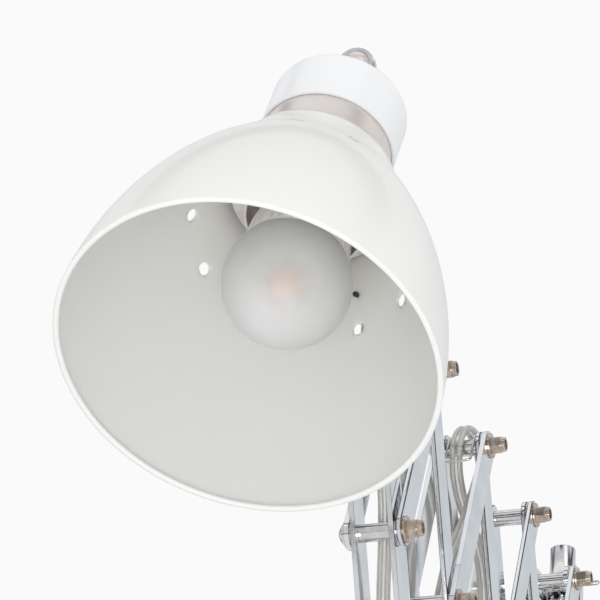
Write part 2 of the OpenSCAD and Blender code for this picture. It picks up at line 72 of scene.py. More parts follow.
WALL_PIVOT = joint_at("arm_fold")
FRONT_PIVOT = joint_at("head_lean")
BALL = joint_at("shade_tilt")
PITCH = (WALL_PIVOT.y - FRONT_PIVOT.y) / 4
DROP = WALL_PIVOT.z - joint_at("low_o3").z
LEAN = math.atan2(PITCH, DROP)
HEAD_TILT = math.radians(24.3)
SIDE_LEAN = math.radians(2.5)
HEAD = (
    Matrix.Translation(BALL)
    @ Matrix.Rotation(SIDE_LEAN, 4, "Y")
    @ Matrix.Rotation(-HEAD_TILT, 4, "X")
)
# Heights in the lamp's own frame, below the ball.
RIM_Z = -0.218
ASKEW_Z = RIM_Z + 0.150
HOLDER_LEAN = (
    Matrix.Translation((0, 0, ASKEW_Z))
    @ Matrix.Rotation(math.radians(-2.5), 4, "Y")
    @ Matrix.Rotation(math.radians(1.6), 4, "X")
    @ Matrix.Translation((0, 0, -ASKEW_Z))
)


def top(k):
    """Top pivot k, from 4 at the wall to 0 at the head."""
    return WALL_PIVOT - Vector((0, (4 - k) * PITCH, 0))


def low(k):
    return top(k) - Vector((0, 0, DROP))


# ---------------------------------------------------------------- camera, light and room
def make_camera():
    """Below and in front of the lamp, looking up at the shade and along the arm to the wall."""
    right = Vector((0.9427, 0.3292, 0.0552)).normalized()
    ahead = Vector((-0.3144, 0.8204, 0.4776))
    up = right.cross(ahead).normalized()
    ahead = up.cross(right)
    data = bpy.data.cameras.new("camera")
    data.lens = 192
    data.sensor_width = 36
    camera = bpy.data.objects.new("camera", data)
    place = WALL_PIVOT + Vector((0.4342, -1.5419, -0.7035))
    turn = Matrix((right, up, -ahead)).transposed().to_4x4()
    camera.matrix_world = Matrix.Translation(place) @ turn
    data.clip_start = 0.05
    data.clip_end = 50
    bpy.context.scene.collection.objects.link(camera)
    bpy.context.scene.camera = camera


def area_light(name, place, target, size, power, colour):
    data = bpy.data.lights.new(name, "AREA")
    data.shape = "DISK"
    data.size = size
    data.energy = power
    data.color = colour
    light = bpy.data.objects.new(name, data)
    aim = Vector(target) - Vector(place)
    light.matrix_world = Matrix.Translation(place) @ aim.to_track_quat("-Z", "Y").to_matrix().to_4x4()
    bpy.context.scene.collection.objects.link(light)


def set_stops(ramp_node, stops):
    """Fills a colour ramp from (position, colour) pairs."""
    elements = ramp_node.color_ramp.elements
    elements[0].position, elements[0].color = stops[0][0], (*stops[0][1], 1)
    elements[1].position, elements[1].color = stops[-1][0], (*stops[-1][1], 1)
    for at, colour in stops[1:-1]:
        elements.new(at).color = (*colour, 1)


def make_view():
    """A plain transfer, so that the pale room comes out nearly white."""
    view = bpy.context.scene.view_settings
    view.view_transform = "Standard"
    view.look = "None"
    view.exposure = 0.0
    view.gamma = 1.0


def make_world():
    """A bright, nearly white room. Mirrors also see a few darker bands, as round a studio tent."""
    world = bpy.data.worlds.new("room")
    world.use_nodes = True
    tree = world.node_tree
    tree.nodes.clear()
    out = tree.nodes.new("ShaderNodeOutputWorld")
    plain = tree.nodes.new("ShaderNodeBackground")
    plain.inputs["Color"].default_value = (0.955, 0.955, 0.965, 1)
    plain.inputs["Strength"].default_value = 1.0
    room = tree.nodes.new("ShaderNodeBackground")
    place = tree.nodes.new("ShaderNodeTexCoord")
    split = tree.nodes.new("ShaderNodeSeparateXYZ")
    tree.links.new(place.outputs["Generated"], split.inputs[0])

    def bands(axis, stops):
        """Bright and dark bands across one axis of the direction looked in."""
        along = tree.nodes.new("ShaderNodeMapRange")
        along.inputs["From Min"].default_value = -1
        along.inputs["From Max"].default_value = 1
        tree.links.new(split.outputs[axis], along.inputs["Value"])
        ramp = tree.nodes.new("ShaderNodeValToRGB")
        set_stops(ramp, stops)
        tree.links.new(along.outputs["Result"], ramp.inputs["Fac"])
        return ramp.outputs["Color"]

    black, dusk, shade = (0.03, 0.03, 0.035), (0.15, 0.15, 0.17), (0.3, 0.3, 0.33)
    grey, pale, white = (0.66, 0.69, 0.72), (0.88, 0.90, 0.92), (1, 1, 1)
    upright = bands("Z", [
        (0.0, pale), (0.17, pale), (0.19, black), (0.225, black), (0.24, pale), (0.40, white),
        (0.425, black), (0.465, black), (0.48, white), (0.60, pale), (0.68, grey), (0.79, grey),
        (0.83, white), (0.885, white), (0.895, black), (0.925, black), (0.94, pale), (1.0, pale),
    ])
    depth = bands("Y", [
        (0.0, pale), (0.02, pale), (0.03, black), (0.055, black), (0.075, white), (1.0, white),
    ])
    side = bands("X", [
        (0.0, pale), (0.05, pale), (0.07, shade), (0.10, shade), (0.13, white),
        (0.84, white), (0.87, dusk), (0.91, dusk), (0.94, white), (1.0, pale),
    ])
    first = tree.nodes.new("ShaderNodeMix")
    second = tree.nodes.new("ShaderNodeMix")
    for node, a, b in ((first, upright, depth), (second, first.outputs[2], side)):
        node.data_type = "RGBA"
        node.blend_type = "MULTIPLY"
        node.inputs[0].default_value = 1.0
        tree.links.new(a, node.inputs[6])
        tree.links.new(b, node.inputs[7])
    tree.links.new(second.outputs[2], room.inputs["Color"])
    room.inputs["Strength"].default_value = 1.0
    seen = tree.nodes.new("ShaderNodeLightPath")
    mix = tree.nodes.new("ShaderNodeMixShader")
    tree.links.new(seen.outputs["Is Glossy Ray"], mix.inputs["Fac"])
    tree.links.new(plain.outputs[0], mix.inputs[1])
    tree.links.new(room.outputs[0], mix.inputs[2])
    tree.links.new(mix.outputs[0], out.inputs["Surface"])
    bpy.context.scene.world = world


def make_floor():
    mesh = bpy.data.meshes.new("floor")
    half, below = 9.0, 2.6
    z = cad_box[0].z - below
    mesh.from_pydata(
        [(-half, -half, z), (half, -half, z), (half, half, z), (-half, half, z)], [], [(0, 1, 2, 3)]
    )
    floor = bpy.data.objects.new("floor", mesh)
    bpy.context.scene.collection.objects.link(floor)
    mesh.materials.append(plain_floor())


# ---------------------------------------------------------------- materials
class Shader:
    """A Principled material with short ways to add noise, colour and bump."""

    def __init__(self, name):
        self.material = bpy.data.materials.new(name)
        self.material.use_nodes = True
        self.tree = self.material.node_tree
        self.bsdf = self.tree.nodes["Principled BSDF"]
        self.place = self.tree.nodes.new("ShaderNodeTexCoord").outputs["Object"]
        self.height = None

    def set(self, **values):
        names = {
            "metallic": "Metallic", "roughness": "Roughness", "ior": "IOR", "coat": "Coat Weight",
            "coat_roughness": "Coat Roughness", "transmission": "Transmission Weight",
            "subsurface": "Subsurface Weight", "subsurface_scale": "Subsurface Scale",
            "specular": "Specular IOR Level",
        }
        for key, value in values.items():
            self.bsdf.inputs[names[key]].default_value = value
        return self

    def noise(self, scale, detail=3, stretch=(1, 1, 1)):
        node = self.tree.nodes.new("ShaderNodeTexNoise")
        node.inputs["Scale"].default_value = scale
        node.inputs["Detail"].default_value = detail
        place = self.place
        if stretch != (1, 1, 1):
            mapping = self.tree.nodes.new("ShaderNodeMapping")
            mapping.inputs["Scale"].default_value = stretch
            self.tree.links.new(self.place, mapping.inputs["Vector"])
            place = mapping.outputs[0]
        self.tree.links.new(place, node.inputs["Vector"])
        return node.outputs["Fac"]

    def ramp(self, fac, stops):
        node = self.tree.nodes.new("ShaderNodeValToRGB")
        set_stops(node, stops)
        self.tree.links.new(fac, node.inputs["Fac"])
        return node.outputs["Color"]

    def spread(self, fac, low_value, high_value):
        node = self.tree.nodes.new("ShaderNodeMapRange")
        node.inputs["To Min"].default_value = low_value
        node.inputs["To Max"].default_value = high_value
        self.tree.links.new(fac, node.inputs["Value"])
        return node.outputs["Result"]

    def colour(self, socket):
        self.tree.links.new(socket, self.bsdf.inputs["Base Color"])
        return self

    def strands(self, scale, distortion):
        """Twisted strands along a flex. From here on, the material's noise follows the flex too."""
        self.place = self.tree.nodes.new("ShaderNodeTexCoord").outputs["UV"]
        node = self.tree.nodes.new("ShaderNodeTexWave")
        node.bands_direction = "DIAGONAL"
        node.inputs["Scale"].default_value = scale
        node.inputs["Distortion"].default_value = distortion
        self.tree.links.new(self.place, node.inputs["Vector"])
        return node.outputs["Fac"]

    def roughness(self, socket):
        self.tree.links.new(socket, self.bsdf.inputs["Roughness"])
        return self

    def bump(self, height, strength, distance):
        node = self.tree.nodes.new("ShaderNodeBump")
        node.inputs["Strength"].default_value = strength
        node.inputs["Distance"].default_value = distance
        self.tree.links.new(height, node.inputs["Height"])
        if self.height is not None:
            self.tree.links.new(self.height, node.inputs["Normal"])
        self.height = node.outputs["Normal"]
        self.tree.links.new(self.height, self.bsdf.inputs["Normal"])
        return self


def plain_floor():
    s = Shader("stage_floor").set(roughness=0.7)
    s.colour(s.ramp(s.noise(3), [(0.3, (0.80, 0.80, 0.81)), (0.7, (0.84, 0.84, 0.85))]))
    return s.material


def plated_steel():
    """Polished nickel-chrome: nearly a mirror, with rubbing marks along the bars and faint clouding."""
    s = Shader("plated_steel").set(metallic=1)
    s.colour(s.ramp(s.noise(60, 4), [(0.3, (0.76, 0.77, 0.785)), (0.7, (0.86, 0.87, 0.885))]))
    s.roughness(s.spread(s.noise(900, 3, (6, 1, 0.12)), 0.03, 0.1))
    s.bump(s.noise(1400, 3, (5, 1, 0.1)), 0.05, 0.0002)
    s.bump(s.noise(40, 2), 0.04, 0.002)
    return s.material


def painted_edge_reflection():
    """Sheared corners of the bars: plated too and duller than the polished faces. Their dark colour is a
    painted dark reflection along the edges.
    """
    s = Shader("painted_edge_reflection").set(metallic=1)
    # painted dark reflection: a dark base colour for the bar edges
    s.colour(s.ramp(s.noise(180, 4), [(0.3, (0.07, 0.072, 0.08)), (0.7, (0.22, 0.225, 0.24))]))
    s.roughness(s.spread(s.noise(700, 3), 0.12, 0.3))
    s.bump(s.noise(1500, 3, (0.2, 1, 1)), 0.1, 0.0002)
    return s.material


def turned_steel():
    """Small turned and plated pieces: bright, with fine rings and a little dirt."""
    s = Shader("turned_steel").set(metallic=1)
    s.colour(s.ramp(s.noise(240, 4), [(0.25, (0.62, 0.61, 0.60)), (0.7, (0.82, 0.81, 0.80))]))
    s.roughness(s.spread(s.noise(1500, 2, (4, 1, 1)), 0.04, 0.12))
    s.bump(s.noise(2600, 2, (6, 0.4, 0.4)), 0.06, 0.0001)
    return s.material


def neck_painted_warm_reflection():
    """Neck ring: a mirror with a soft cloud. Its pinkish-beige colour is a painted warm reflection, as if
    it faced a warm side of the room.
    """
    s = Shader("neck_painted_warm_reflection").set(metallic=0.6)
    # painted warm reflection: a pinkish-beige base colour on a partly metallic surface
    s.colour(s.ramp(s.noise(45, 3), [(0.3, (0.74, 0.68, 0.645)), (0.7, (0.82, 0.765, 0.73))]))
    s.roughness(s.spread(s.noise(500, 3, (1, 1, 6)), 0.26, 0.38))
    s.bump(s.noise(900, 2, (0.6, 0.6, 6)), 0.04, 0.0002)
    return s.material


def clear_jacket():
    """Clear PVC jacket of the twin flex, a little cloudy and scuffed."""
    s = Shader("clear_jacket").set(transmission=0.85, ior=1.3, coat=0.4, coat_roughness=0.04)
    s.colour(s.ramp(s.noise(90, 3), [(0.3, (0.97, 0.96, 0.93)), (0.7, (1, 0.995, 0.98))]))
    s.roughness(s.spread(s.noise(300, 3), 0.06, 0.2))
    s.bump(s.noise(420, 2, (1, 1, 0.5)), 0.12, 0.0003)
    return s.material


def core_strands():
    """Tinned copper strands twisted under the jacket, silvery beige."""
    s = Shader("core_strands").set(metallic=0.35)
    strands = s.strands(6, 1.5)
    copper = [(0.15, (0.62, 0.58, 0.50)), (0.5, (0.86, 0.83, 0.76)), (0.9, (0.98, 0.97, 0.93))]
    s.colour(s.ramp(strands, copper))
    s.roughness(s.spread(s.noise(60, 3), 0.22, 0.42))
    s.bump(strands, 0.3, 0.0002)
    return s.material


def warm_nickel():
    """Lock nuts: yellowish zinc-nickel plating, duller in patches."""
    s = Shader("warm_nickel").set(metallic=1)
    patches = [(0.25, (0.36, 0.29, 0.23)), (0.55, (0.60, 0.51, 0.43)), (0.8, (0.80, 0.73, 0.66))]
    s.colour(s.ramp(s.noise(300, 4), patches))
    s.roughness(s.spread(s.noise(900, 3), 0.12, 0.28))
    s.bump(s.noise(1800, 3), 0.12, 0.0001)
    return s.material


def white_enamel(name, tint):
    """Glossy stove enamel: faint orange peel under a clear, hard gloss."""
    s = Shader(name).set(roughness=0.45, coat=0.22, coat_roughness=0.05, specular=0.3)
    low_tint = tuple(c * 0.975 for c in tint)
    s.colour(s.ramp(s.noise(9, 3), [(0.3, low_tint), (0.7, tint)]))
    s.bump(s.noise(420, 2), 0.05, 0.0002)
    s.bump(s.noise(35, 2), 0.03, 0.001)
    return s.material


def opal_glass():
    """Frosted bulb: milky, with a warmer spot on its front where the filament shows through."""
    s = Shader("opal_glass")
    s.set(roughness=0.42, subsurface=0.35, subsurface_scale=0.01, coat=0.15, coat_roughness=0.3)
    s.bsdf.inputs["Subsurface Radius"].default_value = (1.0, 0.8, 0.7)
    milk = s.ramp(s.noise(50, 3), [(0.3, (0.60, 0.60, 0.59)), (0.7, (0.66, 0.655, 0.65))])
    tip = HEAD @ HOLDER_LEAN @ Vector((0.0082, -0.0165, RIM_Z + 0.0335))
    away = s.tree.nodes.new("ShaderNodeVectorMath")
    away.operation = "DISTANCE"
    away.inputs[1].default_value = tip
    s.tree.links.new(s.place, away.inputs[0])
    ring = s.tree.nodes.new("ShaderNodeMapRange")
    ring.inputs["From Min"].default_value = 0.001
    ring.inputs["From Max"].default_value = 0.018
    s.tree.links.new(away.outputs["Value"], ring.inputs["Value"])
    wobble = s.tree.nodes.new("ShaderNodeMath")
    wobble.operation = "MULTIPLY_ADD"
    s.tree.links.new(s.noise(160, 3), wobble.inputs[0])
    wobble.inputs[1].default_value = 0.5
    s.tree.links.new(ring.outputs["Result"], wobble.inputs[2])
    glow = [(0.3, (0.96, 0.80, 0.72)), (0.6, (0.94, 0.87, 0.83)), (1.0, (1, 1, 1))]
    warm = s.ramp(wobble.outputs[0], glow)
    mix = s.tree.nodes.new("ShaderNodeMix")
    mix.data_type = "RGBA"
    mix.blend_type = "MULTIPLY"
    mix.inputs[0].default_value = 1.0
    s.tree.links.new(milk, mix.inputs[6])
    s.tree.links.new(warm, mix.inputs[7])
    s.colour(mix.outputs[2])
    s.bump(s.noise(1500, 3), 0.06, 0.0001)
    return s.material


def bulb_ceramic():
    s = Shader("bulb_moulding").set(roughness=0.38, coat=0.2, coat_roughness=0.2)
    s.colour(s.ramp(s.noise(40, 3), [(0.3, (0.76, 0.74, 0.71)), (0.7, (0.82, 0.80, 0.77))]))
    s.bump(s.noise(1200, 2), 0.05, 0.0001)
    return s.material


def holder_metal():
    s = Shader("holder_metal").set(metallic=0.75)
    s.colour(s.ramp(s.noise(70, 4), [(0.3, (0.66, 0.60, 0.57)), (0.7, (0.78, 0.73, 0.70))]))
    s.roughness(s.spread(s.noise(700, 3, (1, 1, 5)), 0.25, 0.45))
    s.bump(s.noise(900, 2, (0.5, 0.5, 6)), 0.06, 0.0002)
    return s.material


def dark_moulding():
    s = Shader("dark_moulding").set(coat=0.1, coat_roughness=0.3)
    s.colour(s.ramp(s.noise(120, 4), [(0.3, (0.018, 0.018, 0.018)), (0.7, (0.05, 0.048, 0.046))]))
    s.roughness(s.spread(s.noise(400, 3), 0.3, 0.55))
    s.bump(s.noise(1600, 3), 0.15, 0.0001)
    return s.material


def black_oxide():
    s = Shader("black_oxide").set(metallic=0.6)
    s.colour(s.ramp(s.noise(300, 4), [(0.3, (0.02, 0.02, 0.022)), (0.7, (0.07, 0.07, 0.075))]))
    s.roughness(s.spread(s.noise(700, 3), 0.3, 0.5))
    s.bump(s.noise(1500, 2), 0.1, 0.0001)
    return s.material


def white_moulding():
    s = Shader("white_moulding").set(coat=0.15, coat_roughness=0.25)
    s.colour(s.ramp(s.noise(60, 3), [(0.3, (0.80, 0.80, 0.78)), (0.7, (0.86, 0.86, 0.84))]))
    s.roughness(s.spread(s.noise(500, 3), 0.35, 0.5))
    s.bump(s.noise(1400, 3), 0.12, 0.0001)
    return s.material


def flex_cover():
    """Clear PVC over two stranded cores. UV runs round the section and along the flex."""
    s = Shader("flex_cover")
    s.set(roughness=0.24, coat=0.8, coat_roughness=0.06, subsurface=0.25, subsurface_scale=0.002)
    strands = s.strands(9, 1.2)
    mix = s.tree.nodes.new("ShaderNodeMix")
    mix.data_type = "RGBA"
    mix.inputs["Factor"].default_value = 0.45
    cloudy = [(0.3, (0.50, 0.47, 0.41)), (0.6, (0.74, 0.71, 0.65)), (0.8, (0.86, 0.85, 0.82))]
    cloud = s.ramp(s.noise(14, 3, (1, 2, 1)), cloudy)
    twist = s.ramp(strands, [(0.2, (0.52, 0.49, 0.44)), (0.8, (0.88, 0.87, 0.84))])
    s.tree.links.new(cloud, mix.inputs["A"])
    s.tree.links.new(twist, mix.inputs["B"])
    s.colour(mix.outputs["Result"])
    s.bump(strands, 0.15, 0.0002)
    s.bump(s.noise(30, 2), 0.1, 0.0004)
    return s.material


# ---------------------------------------------------------------- flex and cord
FLEX_W = 0.0068
FLEX_T = 0.0034
# Places in the ring of flex_section(): outer point of each lobe, and the groove on each side.
RIGHT_TIP, FRONT_GROOVE, LEFT_TIP, BACK_GROOVE = 3, 7, 11, 15
CORE_R = 0.00112
CORE_SIDES = 8
CORE_UV_LENGTH = 0.008
FLEX_UV_LENGTH = 0.02


def flex_section():
    """Figure-of-eight outline of the twin flex as (along the wide way, along the thin way)."""
    lobe = FLEX_T / 2
    right = [
        (lobe + lobe * math.cos(math.radians(a)), lobe * math.sin(math.radians(a)))
        for a in range(-105, 106, 35)
    ]
    left = [(-x, -y) for x, y in right]
    groove = 0.6 * lobe
    return right + [(0, groove)] + left + [(0, -groove)]


def smooth_line(points, steps=4):
    """The same smooth line through given points as in the CAD source."""
    out = []
    count = len(points)
    for i in range(count - 1):
        a, b = points[max(i - 1, 0)], points[i]
        c, d = points[i + 1], points[min(i + 2, count - 1)]
        for k in range(steps):
            t = k / steps
            out.append(
                0.5 * (2 * b + (c - a) * t + (2 * a - 5 * b + 4 * c - d) * t * t
                       + (3 * b - a - 3 * c + d) * t * t * t)
            )
    return out + [points[-1].copy()]


def flex_rings(path, ref_a, ref_b):
    """Rings of the section along a path; its wide way turns from ref_a to ref_b."""
    count = len(path)
    section = flex_section()
    rings = []
    for i, centre in enumerate(path):
        run = (path[min(i + 1, count - 1)] - path[max(i - 1, 0)]).normalized()
        ref = Vector(ref_a).lerp(Vector(ref_b), i / (count - 1))
        thin = run.cross(ref).normalized()
        wide = thin.cross(run)
        rings.append([centre + wide * w + thin * t for w, t in section])
    return rings


def add_cores(piece, material, rings):
    """Two stranded cores inside a stretch of clear flex, as a second material of its mesh."""
    mesh = piece.data
    angles = [2 * math.pi * k / CORE_SIDES for k in range(CORE_SIDES)]
    mesh.materials.append(material)
    bm = bmesh.new()
    bm.from_mesh(mesh)
    uv = bm.loops.layers.uv.active
    for hand in (1, -1):
        loops = []
        for ring in rings:
            right, left = ring[RIGHT_TIP], ring[LEFT_TIP]
            wide = (right - left).normalized()
            thin = (ring[FRONT_GROOVE] - ring[BACK_GROOVE]).normalized()
            middle = (right + left) / 2 + wide * hand * FLEX_T / 2
            loops.append([
                bm.verts.new(middle + CORE_R * (wide * math.cos(a) + thin * math.sin(a)))
                for a in angles
            ])
        run = 0.0
        for i in range(len(loops) - 1):
            step = (loops[i + 1][0].co - loops[i][0].co).length
            for k in range(CORE_SIDES):
                n = (k + 1) % CORE_SIDES
                face = bm.faces.new((loops[i][k], loops[i][n], loops[i + 1][n], loops[i + 1][k]))
                face.material_index = 1
                face.smooth = True
                at = [(k, run), (k + 1, run), (k + 1, run + step), (k, run + step)]
                for loop, (u, v) in zip(face.loops, at):
                    loop[uv].uv = (u / CORE_SIDES, v / CORE_UV_LENGTH)
            run += step
        for end in (loops[0][::-1], loops[-1]):
            cap = bm.faces.new(end)
            cap.material_index = 1
    bm.normal_update()
    bm.to_mesh(mesh)
    bm.free()


def flex_mesh(name, rings, path, material):
    """A closed mesh through some rings, with UV round and along it."""
    sides = len(rings[0])
    verts = [v for ring in rings for v in ring]
    faces, uvs = [], []
    run = [0.0]
    for a, b in zip(path, path[1:]):
        run.append(run[-1] + (b - a).length)
    for i in range(len(rings) - 1):
        for k in range(sides):
            n = (k + 1) % sides
            faces.append((i * sides + k, i * sides + n, (i + 1) * sides + n, (i + 1) * sides + k))
            low_u, high_u = k / sides, (k + 1) / sides
            low_v, high_v = run[i] / FLEX_UV_LENGTH, run[i + 1] / FLEX_UV_LENGTH
            uvs += [(low_u, low_v), (high_u, low_v), (high_u, high_v), (low_u, high_v)]
    last = (len(rings) - 1) * sides
    faces.append(tuple(range(sides))[::-1])
    faces.append(tuple(last + k for k in range(sides)))
    uvs += [(0.5, 0.0)] * sides * 2
    mesh = bpy.data.meshes.new(name)
    mesh.from_pydata(verts, [], faces)
    layer = mesh.uv_layers.new(name="flex")
    for loop, uv in zip(layer.data, uvs):
        loop.uv = uv
    bm = bmesh.new()
    bm.from_mesh(mesh)
    bmesh.ops.recalc_face_normals(bm, faces=bm.faces)
    bm.to_mesh(mesh)
    bm.free()
    for polygon in mesh.polygons:
        polygon.use_smooth = len(polygon.vertices) == 4
    mesh.materials.append(material)
    piece = bpy.data.objects.new(name, mesh)
    bpy.context.scene.collection.objects.link(piece)
    return piece


def bar_down(side):
    return Vector((0, -side * math.sin(LEAN), -math.cos(LEAN)))


def bar_wall(side):
    return Vector((0, math.cos(LEAN), -side * math.sin(LEAN)))


def on_bar(start, side, p):
    return start + Vector((p[0], 0, 0)) + p[1] * bar_wall(side) + p[2] * bar_down(side)


def arc_line(centre, radius, start, end, x_start, x_end, steps):
    out = []
    for i in range(steps + 1):
        t = i / steps
        a = math.radians(start + (end - start) * t)
        offset = (x_start + (x_end - x_start) * t, radius * math.cos(a), radius * math.sin(a))
        out.append(centre + Vector(offset))
    return out


# Route points of the flex in metres, as in the CAD source. The tail leaves the coil on its tangent instead.
ROUTE_WALL = [
    (-0.030, -0.009, 0.092), (-0.030, -0.010, 0.100), (-0.029, -0.014, 0.108),
    (-0.025, -0.023, 0.115), (-0.018, -0.034, 0.119), (-0.011, -0.042, 0.1215),
]
ROUTE_A4 = [
    (-0.0036, 0.009, 0.017), (-0.0036, 0.008, 0.030), (-0.003, 0.007, 0.050), (-0.002, 0.008, 0.080),
    (-0.002, 0.009, 0.110), (-0.002, 0.008, 0.145), (-0.002, 0.007, 0.180), (-0.002, 0.0075, 0.205),
]
ROUTE_B2 = [
    (-0.0026, -0.0072, 0.008), (-0.0032, -0.005, 0.016), (-0.0032, 0, 0.026), (-0.002, 0.005, 0.036),
    (0.0005, 0.008, 0.048), (0.0022, 0.0075, 0.061), (0.0022, 0.007, 0.078), (0.001, 0.008, 0.095),
    (0, 0.0095, 0.112), (-0.001, 0.008, 0.138), (-0.001, 0.002, 0.168), (-0.002, -0.004, 0.190),
    (-0.002, -0.007, 0.206),
]
ROUTE_A2 = [
    (0.0042, 0.0165, 0.006), (0.0042, 0.0142, 0.020), (0.0042, 0.011, 0.037), (0.0038, 0.0076, 0.055),
    (0.002, 0.0055, 0.076), (0.0004, 0.0079, 0.097), (0, 0.009, 0.112), (0, 0.009, 0.140),
    (0, 0.008, 0.175), (0, 0.0075, 0.204),
]
ROUTE_B0 = [
    (0, 0.012, 0.013), (0, 0.0086, 0.021), (0.0006, 0.0064, 0.034), (0.002, 0.006, 0.060),
    (0.0025, 0.0085, 0.088), (0.0005, 0.0097, 0.113), (-0.0015, 0.0065, 0.141), (-0.001, 0.001, 0.168),
    (0, -0.004, 0.190), (0, -0.007, 0.206),
]
ROUTE_CORD = [
    (-0.030, -0.009, 0.074), (-0.030, -0.009, 0.060), (-0.030, -0.009, 0.030), (-0.030, -0.009, 0),
    (-0.030, -0.009, -0.030), (-0.030, -0.009, -0.060), (-0.031, -0.009, -0.088),
    (-0.037, -0.009, -0.115), (-0.048, -0.009, -0.136), (-0.057, -0.0095, -0.153),
]
COIL_CENTRE = Vector((-0.030, -0.009, -0.184))
COIL_R = 0.038
ROUTE_TAIL = [
    (-0.003, -0.0062, -0.2168), (0.004, -0.0072, -0.2144), (0.0086, -0.0084, -0.2162),
    (0.010, -0.009, -0.2225),
]


def make_arm_flex(material, core_material):
    """One flex from the wall to the lamp, cut at the pivots. Its strands along the bars move with their
    bars; the pieces at the wall and at the pivots stay in place.
    """
    stages = []

    def stage_of(label, points):
        stages.extend((label, Vector(p)) for p in points)

    start = on_bar(top(4), 1, ROUTE_A4[0])
    before, bend_r = 0.008, 0.015
    turn_in = start - before * bar_down(1) - Vector((before * before / (2 * bend_r), 0, 0))
    under_r, under_from, under_to = 0.008, -28.3, -151.7
    arch_r, arch_from, arch_to = 0.0125, 188, -8
    arch_centre = top(2) + Vector((0, 0.006, 0))
    stem_foot = Vector((0, on_bar(top(0), -1, ROUTE_B0[0]).y, top(0).z))
    up_the_stem = [stem_foot, stem_foot + Vector((0, 0, 0.006))]
    stage_of("wall", ROUTE_WALL)
    stage_of("post", [turn_in] + [on_bar(top(4), 1, p) for p in ROUTE_A4[:2]])
    stage_of("strand_a4", [on_bar(top(4), 1, p) for p in ROUTE_A4[2:]])
    stage_of("turn_o3", arc_line(low(3), under_r, under_from, under_to, -0.002, -0.002, 6))
    stage_of("strand_b2", [on_bar(top(2), -1, p) for p in ROUTE_B2[::-1]])
    stage_of("arch_n2", arc_line(arch_centre, arch_r, arch_from, arch_to, -0.0018, 0.0042, 8))
    stage_of("strand_a2", [on_bar(top(2), 1, p) for p in ROUTE_A2])
    stage_of("turn_o1", arc_line(low(1), under_r, under_from, under_to, 0, 0, 6))
    stage_of("strand_b0", [on_bar(top(0), -1, p) for p in ROUTE_B0[:2:-1]])
    stage_of("lead_in", [on_bar(top(0), -1, p) for p in ROUTE_B0[2::-1]] + up_the_stem)
    steps = 4
    path = smooth_line([p for label, p in stages], steps)
    bends = len(ROUTE_WALL) * steps
    turning = flex_rings(path[:bends], (0, 1, 0), (1, 0, 0))
    rings = turning + flex_rings(path, (1, 0, 0), (1, 0, 0))[bends:]
    pieces = {}
    first = 0
    for i in range(1, len(stages) + 1):
        if i == len(stages) or stages[i][0] != stages[first][0]:
            a, b = first * steps, min(i * steps, len(path) - 1)
            name = stages[first][0]
            pieces[name] = flex_mesh("flex_" + name, rings[a:b + 1], path[a:b + 1], material)
            add_cores(pieces[name], core_material, rings[a:b + 1])
            first = i
    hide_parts("flex_wall")
    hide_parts("flex_a4")
    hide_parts("flex_b2")
    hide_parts("flex_a2")
    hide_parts("flex_b0")
    for label in ("a4", "b2", "a2", "b0"):
        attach(pieces["strand_" + label], "bars_" + label)
    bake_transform(pieces["wall"])
    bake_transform(pieces["post"])
    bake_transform(pieces["turn_o3"])
    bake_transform(pieces["arch_n2"])
    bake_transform(pieces["turn_o1"])
    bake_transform(pieces["lead_in"])


def coil_line():
    """Turns of the tied coil: inwards in front, across the middle, then outwards behind."""
    begin, finish, step = 150, 2100, 10
    turns_in, turns_across, turns_out, lead = 2.2, 0.7, 2.52, 0.3
    inner, outer = COIL_R - FLEX_T, COIL_R + FLEX_T
    front, back = -FLEX_W / 2, FLEX_W / 2
    out = []
    for degrees in range(begin, finish + 1, step):
        turns = (degrees - begin) / 360
        beyond = turns - turns_in
        if beyond < 0:
            radius, depth = outer + (inner - outer) * turns / turns_in, front
        elif beyond < turns_across:
            radius, depth = inner, front + (back - front) * beyond / turns_across
        else:
            radius, depth = inner + (outer - inner) * (beyond - turns_across) / turns_out, back
        if turns < lead:
            depth *= turns / lead
        a = math.radians(degrees)
        out.append(COIL_CENTRE + Vector((radius * math.cos(a), depth, radius * math.sin(a))))
    return out


def make_cord(material, relief_material):
    """The free mains flex from the grip on the plate, through its tied coil, to the plug."""
    down = smooth_line([Vector(p) for p in ROUTE_CORD], 3)
    turns = coil_line()
    tail = smooth_line([turns[-1]] + [Vector(p) for p in ROUTE_TAIL], 3)
    path = down[:-1] + smooth_line([down[-1], turns[0]], 2)[:-1] + turns[:-1] + tail
    bend = len(down)
    turning = flex_rings(path[:bend], (1, 0, 0), (0.15, 1, 0))
    rings = turning + flex_rings(path, (0, 1, 0), (0, 1, 0))[bend:]
    cord = flex_mesh("mains_flex", rings, path, material)
    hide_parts("cord", "coil", "tail")
    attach(cord, "wall_bracket")
    tie = make_tie(relief_material)
    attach(tie, "wall_bracket")
    ribs = make_ribs(relief_material)
    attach(ribs, "wall_bracket")


def link_mesh(name, bm, material, smooth=True):
    """Makes a piece of its own from a finished bmesh."""
    bmesh.ops.recalc_face_normals(bm, faces=bm.faces)
    mesh = bpy.data.meshes.new(name)
    bm.to_mesh(mesh)
    bm.free()
    for polygon in mesh.polygons:
        polygon.use_smooth = smooth
    mesh.materials.append(material)
    piece = bpy.data.objects.new(name, mesh)
    bpy.context.scene.collection.objects.link(piece)
    return piece


def band(bm, line, width, thick, normal_of):
    """A closed flat band along a loop. normal_of gives the ways out and across at a point."""
    corners = [(-1, 0), (1, 0), (1, 1), (-1, 1)]
    rings = []
    for point in line:
        out, across = normal_of(point)
        rings.append([
            bm.verts.new(point + across * (w * width / 2) + out * (t * thick)) for w, t in corners
        ])
    for i, ring in enumerate(rings):
        after = rings[(i + 1) % len(rings)]
        for k in range(4):
            n = (k + 1) % 4
            bm.faces.new((ring[k], ring[n], after[n], after[k]))


